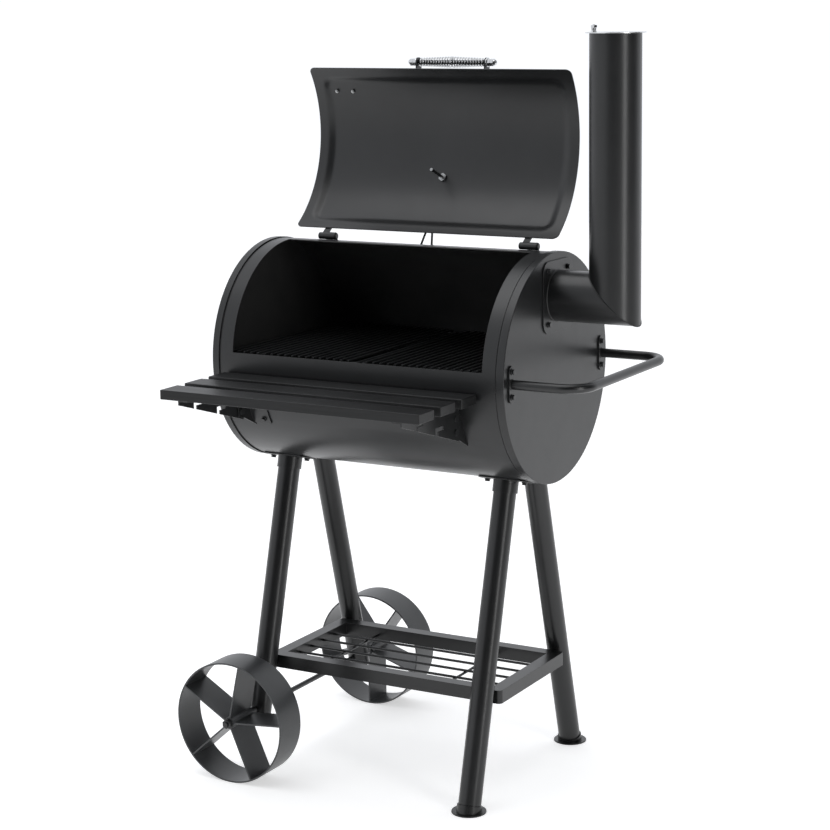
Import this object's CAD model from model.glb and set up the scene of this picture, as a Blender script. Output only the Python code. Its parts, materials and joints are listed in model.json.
import json
import math

import bpy
from mathutils import Matrix, Vector


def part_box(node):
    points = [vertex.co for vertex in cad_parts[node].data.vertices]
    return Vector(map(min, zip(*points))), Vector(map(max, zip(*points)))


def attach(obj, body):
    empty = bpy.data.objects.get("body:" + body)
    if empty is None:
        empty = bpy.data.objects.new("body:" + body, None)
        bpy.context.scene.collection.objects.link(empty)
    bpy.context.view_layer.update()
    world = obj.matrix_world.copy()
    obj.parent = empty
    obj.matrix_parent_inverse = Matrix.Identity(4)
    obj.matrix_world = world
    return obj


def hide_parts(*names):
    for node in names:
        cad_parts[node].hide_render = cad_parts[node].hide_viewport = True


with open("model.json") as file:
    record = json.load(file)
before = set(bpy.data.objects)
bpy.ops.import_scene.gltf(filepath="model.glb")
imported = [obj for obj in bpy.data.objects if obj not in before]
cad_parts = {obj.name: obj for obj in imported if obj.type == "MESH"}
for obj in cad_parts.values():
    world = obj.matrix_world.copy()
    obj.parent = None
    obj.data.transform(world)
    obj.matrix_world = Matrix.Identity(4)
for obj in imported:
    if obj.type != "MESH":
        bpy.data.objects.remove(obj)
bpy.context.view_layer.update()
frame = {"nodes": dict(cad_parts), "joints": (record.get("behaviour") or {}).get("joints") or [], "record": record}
NODES = frame["nodes"]
JOINTS = {joint["name"]: joint for joint in frame["joints"]}

# Metres and degrees throughout. X runs along the barrel, -Y is the cook's side, +Z is up.

# ---- places and sizes taken from the frame ------------------------------------------


def middle(node):
    """Centre of a CAD node's box."""
    low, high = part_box(node)
    return (low + high) / 2


BARREL = middle("left_end_cap")
BARREL.x = middle("barrel_shell").x
BARREL_HALF_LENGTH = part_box("right_end_cap")[1].x - BARREL.x
BARREL_WALL_R = 0.209  # between the inner and the outer face of the rolled sheet
HINGE = Vector(JOINTS["lid_hinge"]["pos_m"])
LID_OPEN = math.radians(JOINTS["lid_hinge"]["range_deg"][1])
LID_LOW, LID_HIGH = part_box("lid_panel")
LID_HALF_LENGTH = (LID_HIGH.x - LID_LOW.x) / 2


# ---- shader building blocks ---------------------------------------------------------


class Tree:
    """A material's node tree, with short calls for the nodes used here."""

    def __init__(self, name):
        self.material = bpy.data.materials.new(name)
        self.material.use_nodes = True
        self.tree = self.material.node_tree
        self.shader = self.tree.nodes["Principled BSDF"]
        self.place = self.tree.nodes.new("ShaderNodeTexCoord").outputs["Object"]

    def add(self, kind, links=(), **settings):
        node = self.tree.nodes.new(kind)
        for key, value in settings.items():
            setattr(node, key, value)
        for socket, value in dict(links).items():
            if isinstance(value, bpy.types.NodeSocket):
                self.tree.links.new(value, node.inputs[socket])
            else:
                node.inputs[socket].default_value = value
        return node

    def stretched(self, scale):
        """Object coordinates, scaled differently along each axis."""
        return self.add("ShaderNodeMapping", {"Vector": self.place, "Scale": scale}).outputs[0]

    def noise(self, scale, detail=3.0, roughness=0.5, vector=None):
        node = self.add("ShaderNodeTexNoise", {
            "Vector": self.place if vector is None else vector,
            "Scale": scale, "Detail": detail, "Roughness": roughness})
        return node.outputs["Fac"]

    def between(self, value, low, high, to_low=0.0, to_high=1.0):
        """Value carried from one range to another, and held inside it."""
        return self.add("ShaderNodeMapRange", {
            "Value": value, "From Min": low, "From Max": high,
            "To Min": to_low, "To Max": to_high}).outputs[0]

    def mix(self, share, first, second):
        """Colour between two colours."""
        node = self.add("ShaderNodeMix", data_type="RGBA")
        sockets = {0: share, 6: first, 7: second}
        for index, value in sockets.items():
            if isinstance(value, bpy.types.NodeSocket):
                self.tree.links.new(value, node.inputs[index])
            else:
                node.inputs[index].default_value = value
        return node.outputs[2]

    def math(self, operation, first, second=0.0):
        return self.add("ShaderNodeMath", {0: first, 1: second}, operation=operation).outputs[0]

    def soft_edges(self, radius):
        """Normal that rounds sharp edges off."""
        return self.add("ShaderNodeBevel", {"Radius": radius}, samples=4).outputs[0]

    def edge_mask(self, rounded):
        """1 along sharp edges and 0 on plain faces."""
        flat = self.add("ShaderNodeNewGeometry").outputs["Normal"]
        dot = self.add("ShaderNodeVectorMath", {0: rounded, 1: flat}, operation="DOT_PRODUCT")
        return self.between(self.math("SUBTRACT", 1.0, dot.outputs["Value"]), 0.01, 0.25)

    def fire_side(self):
        """1 on the faces that the barrel and its end caps turn to the fire, 0 elsewhere."""
        place = self.add("ShaderNodeSeparateXYZ", {"Vector": self.place}).outputs
        across = self.add("ShaderNodeCombineXYZ", {"Y": place["Y"], "Z": place["Z"]}).outputs[0]
        from_axis = self.add("ShaderNodeVectorMath", {0: across, 1: (0.0, BARREL.y, BARREL.z)},
                             operation="DISTANCE").outputs["Value"]
        along = self.math("ABSOLUTE", self.math("SUBTRACT", place["X"], BARREL.x))
        within = self.between(from_axis, BARREL_WALL_R + 0.0003, BARREL_WALL_R - 0.0003)
        short = self.between(along, BARREL_HALF_LENGTH - 0.0005, BARREL_HALF_LENGTH - 0.0009)
        return self.math("MULTIPLY", within, short)

    def bump(self, height, distance, normal=None):
        links = {"Height": height, "Distance": distance, "Strength": 1.0}
        if normal is not None:
            links["Normal"] = normal
        return self.add("ShaderNodeBump", links).outputs[0]

    def finish(self, colour, roughness, normal, **numbers):
        for socket, value in (("Base Color", colour), ("Roughness", roughness),
                              ("Normal", normal)):
            self.tree.links.new(value, self.shader.inputs[socket])
        for socket, value in numbers.items():
            self.shader.inputs[socket.replace("_", " ")].default_value = value
        return self.material


def grey(value, tint=0.0):
    """Colour of that lightness, turned a little towards blue."""
    return (value * (1 - tint), value, value * (1 + tint), 1.0)


# ---- materials ----------------------------------------------------------------------


def coated_metal(name, dark, light, roughness, peel=0.00002, peel_scale=1400.0, worn=0.12,
                 ash=0.0):
    """Powder coat or stove paint: cloudy black, orange-peel bump and rubbed edges.

    Where ash is above 0, the faces turned to the fire are dusted to that lightness.
    """
    t = Tree(name)
    cloud = t.between(t.noise(5.0, 4.0, 0.6), 0.35, 0.65)
    rounded = t.soft_edges(0.0008)
    rub = t.math("MULTIPLY", t.edge_mask(rounded), t.between(t.noise(60.0, 4.0), 0.35, 0.7))
    colour = t.mix(cloud, grey(dark, 0.05), grey(light, 0.05))
    colour = t.mix(t.math("MULTIPLY", rub, worn * 4), colour, grey(worn, 0.02))
    if ash > 0.0:
        dust = t.math("MULTIPLY", t.fire_side(), t.between(t.noise(14.0, 5.0), 0.2, 0.6, 0.6, 1.0))
        colour = t.mix(dust, colour, grey(ash))
    fine = t.noise(peel_scale, 2.0)
    blotch = t.noise(24.0, 5.0, 0.65)
    rough = t.between(blotch, 0.3, 0.7, roughness - 0.02, roughness + 0.02)
    normal = t.bump(fine, peel, normal=rounded)
    return t.finish(colour, rough, normal, Specular_IOR_Level=0.5)


def bright_metal(name, value, roughness, scratch=0.06, tint=0.01):
    """Plated or bare steel: small scratches and slightly uneven gloss."""
    t = Tree(name)
    rounded = t.soft_edges(0.0004)
    streak = t.noise(220.0, 4.0, 0.7, t.stretched((1.0, 6.0, 6.0)))
    cloud = t.between(t.noise(40.0, 3.0), 0.3, 0.7)
    colour = t.mix(cloud, grey(value * 0.88, tint), grey(value, tint))
    rough = t.between(streak, 0.3, 0.75, roughness, roughness + scratch)
    normal = t.bump(streak, 0.000004, normal=rounded)
    return t.finish(colour, rough, normal, Metallic=1.0)


def stained_wood(name):
    """Black stained slat: grain along X that shows through the stain."""
    t = Tree(name)
    grain = t.noise(9.0, 7.0, 0.62, t.stretched((1.0, 26.0, 26.0)))
    pore = t.noise(60.0, 3.0, 0.7, t.stretched((1.0, 18.0, 18.0)))
    band = t.between(grain, 0.36, 0.64)
    rounded = t.soft_edges(0.0012)
    colour = t.mix(band, grey(0.005, 0.04), grey(0.012, 0.03))
    edge = t.math("MULTIPLY", t.edge_mask(rounded), t.between(pore, 0.4, 0.65))
    colour = t.mix(t.math("MULTIPLY", edge, 0.35), colour, grey(0.05, 0.02))
    rough = t.between(grain, 0.3, 0.7, 0.36, 0.50)
    height = t.math("ADD", t.math("MULTIPLY", grain, 0.7), t.math("MULTIPLY", pore, 0.3))
    return t.finish(colour, rough, t.bump(height, 0.00012, normal=rounded),
                    Specular_IOR_Level=0.32)


def plastic(name, value, roughness):
    """Moulded plastic with a fine spark texture."""
    t = Tree(name)
    cloud = t.between(t.noise(50.0, 3.0), 0.3, 0.7)
    colour = t.mix(cloud, grey(value * 0.85), grey(value))
    rough = t.between(t.noise(400.0, 2.0), 0.3, 0.7, roughness - 0.05, roughness + 0.05)
    return t.finish(colour, rough, t.bump(t.noise(1800.0, 2.0), 0.00001))


def paint(name, colour, roughness):
    """Thin flat paint, for the dial and its marks."""
    t = Tree(name)
    cloud = t.between(t.noise(90.0, 3.0), 0.3, 0.7)
    pale = tuple(channel * 0.94 for channel in colour[:3]) + (1.0,)
    rough = t.between(t.noise(300.0, 2.0), 0.3, 0.7, roughness - 0.04, roughness + 0.04)
    return t.finish(t.mix(cloud, pale, colour), rough, t.bump(t.noise(1500.0, 2.0), 0.000004))


def clear_glass(name):
    """Thin flat lens."""
    t = Tree(name)
    smear = t.noise(70.0, 4.0)
    rough = t.between(smear, 0.3, 0.7, 0.01, 0.05)
    colour = t.mix(t.between(smear, 0.3, 0.7), grey(0.97), grey(1.0))
    return t.finish(colour, rough, t.bump(smear, 0.000002), Alpha=0.25, IOR=1.5)


MATERIALS = {
    "powder_coat": coated_metal("powder_coat", 0.005, 0.009, 0.32, worn=0.05),
    "barrel_coat": coated_metal("barrel_coat", 0.008, 0.013, 0.34, peel=0.000015, worn=0.05,
                                ash=0.04),
    "wheel_coat": coated_metal("wheel_coat", 0.030, 0.045, 0.36, worn=0.12),
    "grate_steel": coated_metal("grate_steel", 0.012, 0.020, 0.36, peel_scale=900.0, worn=0.06),
    "black_steel": coated_metal("black_steel", 0.008, 0.014, 0.30, worn=0.10),
    "chrome_trim": bright_metal("chrome_trim", 0.62, 0.06, scratch=0.04),
    "zinc_steel": bright_metal("zinc_steel", 0.34, 0.24),
    "bare_cap_steel": bright_metal("bare_cap_steel", 0.72, 0.24, scratch=0.12),
    "blank_plate": bright_metal("blank_plate", 0.70, 0.30),
    "slat_wood": stained_wood("slat_wood"),
    "dial_face": paint("dial_face", (0.86, 0.85, 0.81, 1.0), 0.5),
    "needle_paint": paint("needle_paint", (0.45, 0.02, 0.015, 1.0), 0.35),
    "lens_glass": clear_glass("lens_glass"),
    "knob_plastic": plastic("knob_plastic", 0.02, 0.45),
    "plug_plastic": plastic("plug_plastic", 0.02, 0.5),
}
INK = paint("dial_ink", (0.02, 0.02, 0.02, 1.0), 0.6)


def dress(piece, slot, body):
    """Give a new piece its material, its record slot and the body that it rides on."""
    piece.data.materials.clear()
    piece.data.materials.append(MATERIALS[slot])
    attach(piece, body)
    return piece


def dress_cad_nodes():
    """Every CAD node takes the material of its record slot."""
    for row in frame["record"]["subparts"]:
        node = NODES[row["node"]]
        node.data.materials.clear()
        node.data.materials.append(MATERIALS[row["material_slot"]])


def mesh_piece(name, vertices, faces, slot, body, smooth_to=40.0):
    """New piece from a mesh in frame coordinates, smooth up to an angle between faces."""
    mesh = bpy.data.meshes.new(name)
    mesh.from_pydata([tuple(vertex) for vertex in vertices], [], faces)
    mesh.shade_smooth()
    mesh.set_sharp_from_angle(angle=math.radians(smooth_to))
    piece = bpy.data.objects.new(name, mesh)
    bpy.context.scene.collection.objects.link(piece)
    return dress(piece, slot, body)


# ---- the lid's sheet ----------------------------------------------------------------

LID_INNER_R = 0.2145
LID_SHEET = 0.0018
LID_BACK, LID_FRONT = math.radians(88.5), math.radians(180.0)
LID_CORNER_R = 0.011
PANEL_STEP = 0.0045
PANEL_BORDER = 0.026
PANEL_CORNER_R = 0.019
PANEL_RAMP = 0.0085
LID_CELL = 0.003


def outside_of(x, s, half_x, half_s, corner):
    """Distance outside a rounded rectangle; negative inside it."""
    qx, qs = abs(x) - (half_x - corner), abs(s) - (half_s - corner)
    return math.hypot(max(qx, 0.0), max(qs, 0.0)) + min(max(qx, qs), 0.0) - corner


def pull_into_corner(x, s, half_x, half_s, corner):
    """Move a point that lies beyond a rounded corner onto it."""
    qx, qs = abs(x) - (half_x - corner), abs(s) - (half_s - corner)
    if qx > 0 and qs > 0:
        reach = math.hypot(qx, qs)
        if reach > corner:
            x = math.copysign(half_x - corner + qx * corner / reach, x)
            s = math.copysign(half_s - corner + qs * corner / reach, s)
    return x, s


def swung(point):
    """A point of the closed lid, carried to where it is with the lid open."""
    return HINGE + Matrix.Rotation(-LID_OPEN, 3, "X") @ (point - HINGE)


def make_lid_sheet():
    """Rolled sheet with a softly pressed panel, in place of the CAD lid's hard step."""
    half_s = LID_INNER_R * (LID_FRONT - LID_BACK) / 2
    middle_angle = (LID_FRONT + LID_BACK) / 2
    across = round(2 * LID_HALF_LENGTH / LID_CELL)
    round_way = round(2 * half_s / LID_CELL)
    vertices = []
    for layer in (0.0, LID_SHEET):
        for i in range(across + 1):
            for j in range(round_way + 1):
                x, s = pull_into_corner((2 * i / across - 1) * LID_HALF_LENGTH,
                                        (2 * j / round_way - 1) * half_s,
                                        LID_HALF_LENGTH, half_s, LID_CORNER_R)
                gap = outside_of(x, s, LID_HALF_LENGTH - PANEL_BORDER,
                                 half_s - PANEL_BORDER, PANEL_CORNER_R)
                share = min(max(0.5 - gap / (2 * PANEL_RAMP), 0.0), 1.0)
                step = PANEL_STEP * share * share * (3 - 2 * share)
                radius, angle = LID_INNER_R + layer + step, middle_angle + s / LID_INNER_R
                vertices.append(swung(BARREL + Vector((x, radius * math.cos(angle),
                                                       radius * math.sin(angle)))))
    row = round_way + 1
    count = (across + 1) * row
    faces = []
    for i in range(across):
        for j in range(round_way):
            a, b, c, d = i * row + j, (i + 1) * row + j, (i + 1) * row + j + 1, i * row + j + 1
            faces.append((a, b, c, d))
            faces.append((a + count, d + count, c + count, b + count))
    rim = [i * row for i in range(across + 1)]
    rim += [across * row + j for j in range(1, row)]
    rim += [i * row + round_way for i in range(across - 1, -1, -1)]
    rim += [j for j in range(round_way - 1, 0, -1)]
    for a, b in zip(rim, rim[1:] + rim[:1]):
        faces.append((b, a, a + count, b + count))
    sheet = mesh_piece("lid_sheet", vertices, faces, "barrel_coat", "lid")
    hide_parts("lid_panel")


# ---- weld beads ---------------------------------------------------------------------

STACK_LOW, STACK_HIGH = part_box("chimney_stack")
PIPE_R = (STACK_HIGH.x - STACK_LOW.x) / 2
PIPE_CORNER = Vector((middle("chimney_stack").x, BARREL.y, STACK_LOW.z + PIPE_R))
SIDE_PLATE_HALF_WIDTH = 0.010
SIDE_WELD_R = 0.0088
BEAD_SIDES = 8
BEAD_SWELL = 0.14


def make_bead(name, centres, thickness, ripples):
    """Closed, slightly rippled weld bead along a ring of points."""
    count = len(centres)
    vertices, faces = [], []
    middle_point = sum(centres, Vector()) / count
    for number, centre in enumerate(centres):
        ahead = (centres[(number + 1) % count] - centres[number - 1]).normalized()
        out = (centre - middle_point).normalized()
        other = ahead.cross(out).normalized()
        ripple = math.sin(2 * math.pi * ripples * number / count)
        radius = thickness * (1 + BEAD_SWELL * ripple)
        for side in range(BEAD_SIDES):
            turn = 2 * math.pi * side / BEAD_SIDES
            vertices.append(centre + (out * math.cos(turn) + other * math.sin(turn)) * radius)
            a = number * BEAD_SIDES + side
            b = number * BEAD_SIDES + (side + 1) % BEAD_SIDES
            end = BEAD_SIDES * count
            faces.append((a, b, (b + BEAD_SIDES) % end, (a + BEAD_SIDES) % end))
    mesh_piece(name, vertices, faces, "powder_coat", "stand_and_barrel", smooth_to=80.0)


def ring(centre, radius, first, second, count):
    """Points round a circle between two perpendicular directions."""
    angles = [2 * math.pi * number / count for number in range(count)]
    return [centre + (first * math.cos(angle) + second * math.sin(angle)) * radius
            for angle in angles]


def make_beads():
    """Welds at the chimney's mitre, at its flange and at both ends of the side handle."""
    mitre = [PIPE_CORNER + Vector((math.cos(angle), math.sin(angle), -math.cos(angle))) * PIPE_R
             for angle in (2 * math.pi * number / 320 for number in range(320))]
    make_bead("chimney_mitre_weld", mitre, 0.0011, 80)
    along, up = Vector((0, 1, 0)), Vector((0, 0, 1))
    flange = Vector((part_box("chimney_flange")[1].x, PIPE_CORNER.y, PIPE_CORNER.z))
    make_bead("chimney_stub_weld", ring(flange, PIPE_R + 0.0004, along, up, 280), 0.0014, 70)
    plate_low, plate_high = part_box("side_handle_plates")
    handle_z = (plate_low.z + plate_high.z) / 2
    half_width = (plate_high.y - plate_low.y) / 2 - SIDE_PLATE_HALF_WIDTH
    for side, name in ((-1, "front"), (1, "rear")):
        spot = Vector((plate_high.x, BARREL.y + side * half_width, handle_z))
        make_bead(name + "_side_handle_weld", ring(spot, SIDE_WELD_R, along, up, 96), 0.0012, 24)


# ---- the thermometer's scale --------------------------------------------------------

DIAL_SWEEP = 260.0
DIAL_TOP = 350
DIAL_LABEL_STEP = 50
DIAL_TICK_STEP = 10
DIAL_BELOW_NEEDLE = 0.00135
DIAL_START = (-0.75, -0.66)  # parts of the 0 mark's direction along right and up
TICK_OUTER_R = 0.0250
LONG_TICK = (0.0205, 0.00035)  # inner radius and half width
SHORT_TICK = (0.0225, 0.00018)
LABEL_R = 0.0166
LABEL_HEIGHT = 0.0046


def make_dial_print():
    """Scale of ticks and numbers, flat on the dial."""
    joint = JOINTS["needle_turn"]
    axis = Vector(joint["axis"]).normalized()
    centre = Vector(joint["pos_m"])
    right = Vector((1, 0, 0))
    up = (-axis).cross(right)
    heading = (right * DIAL_START[0] + up * DIAL_START[1]).normalized()
    face = centre + axis * DIAL_BELOW_NEEDLE
    vertices, faces = [], []

    def add(points, loops):
        start = len(vertices)
        vertices.extend(points)
        faces.extend([tuple(start + index for index in loop) for loop in loops])

    for value in range(0, DIAL_TOP + 1, DIAL_TICK_STEP):
        turn = Matrix.Rotation(math.radians(DIAL_SWEEP) * value / DIAL_TOP, 3, axis)
        way = turn @ heading
        side = way.cross(axis)
        labelled = value % DIAL_LABEL_STEP == 0
        inner, half = LONG_TICK if labelled else SHORT_TICK
        corners = [face + way * reach + side * shift for reach, shift in
                   ((inner, -half), (TICK_OUTER_R, -half), (TICK_OUTER_R, half), (inner, half))]
        add(corners, [(0, 1, 2, 3)])
        if not labelled:
            continue
        words = bpy.data.curves.new("label", "FONT")
        words.body = str(value)
        words.size = LABEL_HEIGHT
        words.align_x, words.align_y = "CENTER", "CENTER"
        written = bpy.data.objects.new("label", words)
        flat = written.to_mesh()
        spot = face + way * LABEL_R
        add([spot + right * vertex.co.x + up * vertex.co.y for vertex in flat.vertices],
            [tuple(polygon.vertices) for polygon in flat.polygons])
        written.to_mesh_clear()
        bpy.data.objects.remove(written)
        bpy.data.curves.remove(words)
    piece = mesh_piece("thermometer_scale", vertices, faces, "dial_face", "lid")
    piece.data.materials.clear()
    piece.data.materials.append(INK)


dress_cad_nodes()
make_lid_sheet()
make_beads()
make_dial_print()


# ---- stage, lights and camera -------------------------------------------------------

CAMERA_AT = Vector((1.9064, -3.3647, 1.4548))
CAMERA_AZIMUTH = 29.19
CAMERA_PITCH = 9.95
CAMERA_ROLL = -0.70
CAMERA_LENS = 92.38
CAMERA_SHIFT = (-0.0251, -0.0570)
TARGET = Vector((0.0, 0.0, 0.75))
DIM_AZIMUTH = 60.0
DIM_ELEVATION = 12.0
DIM_STRENGTH = 0.02
DIM_FADE = (0.05, 0.55)  # cosine of the angle to the dim side where it starts and is full
WALL_STRENGTH = 1.05
WALL_COLOUR = (0.96, 0.98, 1.02, 1.0)
FLOOR_HALF = 9.0
FLOOR_GLOW = 0.52


def look_way(azimuth, elevation):
    """Direction from the grill. Azimuth 0 is in front and 90 is on the right."""
    a, e = math.radians(azimuth), math.radians(elevation)
    return Vector((math.sin(a) * math.cos(e), -math.cos(a) * math.cos(e), math.sin(e)))


def make_camera():
    """Camera in front and to the right, with a slight roll and a shifted lens."""
    azimuth, pitch, roll = (math.radians(angle) for angle in
                            (CAMERA_AZIMUTH, CAMERA_PITCH, CAMERA_ROLL))
    right = Vector((math.cos(azimuth), math.sin(azimuth), 0.0))
    ahead = Vector((-math.sin(azimuth) * math.cos(pitch),
                    math.cos(azimuth) * math.cos(pitch), -math.sin(pitch)))
    up = right.cross(ahead)
    side = right * math.cos(roll) + up * math.sin(roll)
    top = up * math.cos(roll) - right * math.sin(roll)
    data = bpy.data.cameras.new("camera")
    data.sensor_width = 36.0
    data.lens = CAMERA_LENS
    data.shift_x, data.shift_y = CAMERA_SHIFT
    camera = bpy.data.objects.new("camera", data)
    turn = Matrix((side, top, -ahead)).transposed()
    camera.matrix_world = Matrix.Translation(CAMERA_AT) @ turn.to_4x4()
    bpy.context.scene.collection.objects.link(camera)
    bpy.context.scene.camera = camera


def softbox(name, azimuth, elevation, distance, width, height, watts):
    """Area light that looks at the grill."""
    way = look_way(azimuth, elevation)
    data = bpy.data.lights.new(name, "AREA")
    data.shape = "RECTANGLE"
    data.size, data.size_y = width, height
    data.energy = watts
    light = bpy.data.objects.new(name, data)
    light.location = TARGET + way * distance
    light.rotation_mode = "QUATERNION"
    light.rotation_quaternion = (-way).to_track_quat("-Z", "Y")
    bpy.context.scene.collection.objects.link(light)


def make_stage():
    """Pale floor and a plain white surround."""
    mesh = bpy.data.meshes.new("floor")
    corners = [(x * FLOOR_HALF, y * FLOOR_HALF, 0)
               for x, y in ((-1, -1), (1, -1), (1, 1), (-1, 1))]
    mesh.from_pydata(corners, [], [(0, 1, 2, 3)])
    floor = bpy.data.objects.new("floor", mesh)
    t = Tree("floor_paper")
    cloud = t.between(t.noise(2.0, 3.0), 0.3, 0.7)
    colour = t.mix(cloud, grey(0.86), grey(0.88))
    rough = t.between(cloud, 0.0, 1.0, 0.85, 0.95)
    t.shader.inputs["Emission Color"].default_value = (1.0, 1.0, 1.0, 1.0)
    mesh.materials.append(t.finish(colour, rough, t.bump(t.noise(300.0), 0.00002),
                                   Emission_Strength=FLOOR_GLOW))
    bpy.context.scene.collection.objects.link(floor)

    make_surround()
    bpy.context.scene.view_settings.view_transform = "Standard"


def make_surround():
    """White studio walls. What they light fades to a dim side, in front and to the right."""
    world = bpy.data.worlds.new("surround")
    world.use_nodes = True
    tree = world.node_tree
    place = tree.nodes.new("ShaderNodeTexCoord")
    dot = tree.nodes.new("ShaderNodeVectorMath")
    dot.operation = "DOT_PRODUCT"
    dot.inputs[1].default_value = look_way(DIM_AZIMUTH, DIM_ELEVATION)
    fade = tree.nodes.new("ShaderNodeMapRange")
    fade.interpolation_type = "SMOOTHSTEP"
    for socket, value in (("From Min", DIM_FADE[0]), ("From Max", DIM_FADE[1]),
                          ("To Min", WALL_STRENGTH), ("To Max", DIM_STRENGTH)):
        fade.inputs[socket].default_value = value
    path = tree.nodes.new("ShaderNodeLightPath")
    shown = tree.nodes.new("ShaderNodeMath")
    shown.operation = "MULTIPLY"
    shown.inputs[1].default_value = WALL_STRENGTH
    backdrop = tree.nodes.new("ShaderNodeMath")
    backdrop.operation = "MAXIMUM"
    tree.links.new(path.outputs["Is Camera Ray"], shown.inputs[0])
    tree.links.new(shown.outputs[0], backdrop.inputs[0])
    tree.links.new(fade.outputs[0], backdrop.inputs[1])
    surround = tree.nodes["Background"]
    surround.inputs["Color"].default_value = WALL_COLOUR
    tree.links.new(place.outputs["Generated"], dot.inputs[0])
    tree.links.new(dot.outputs["Value"], fade.inputs["Value"])
    tree.links.new(backdrop.outputs[0], surround.inputs["Strength"])
    bpy.context.scene.world = world


def make_lights():
    """A large soft light overhead and a narrow one that draws lines down the pipes."""
    softbox("overhead", -20, 78, 3.0, 3.0, 2.4, 34)
    softbox("right_strip", 70, 10, 2.8, 0.55, 2.6, 22)


make_camera()
make_stage()
make_lights()
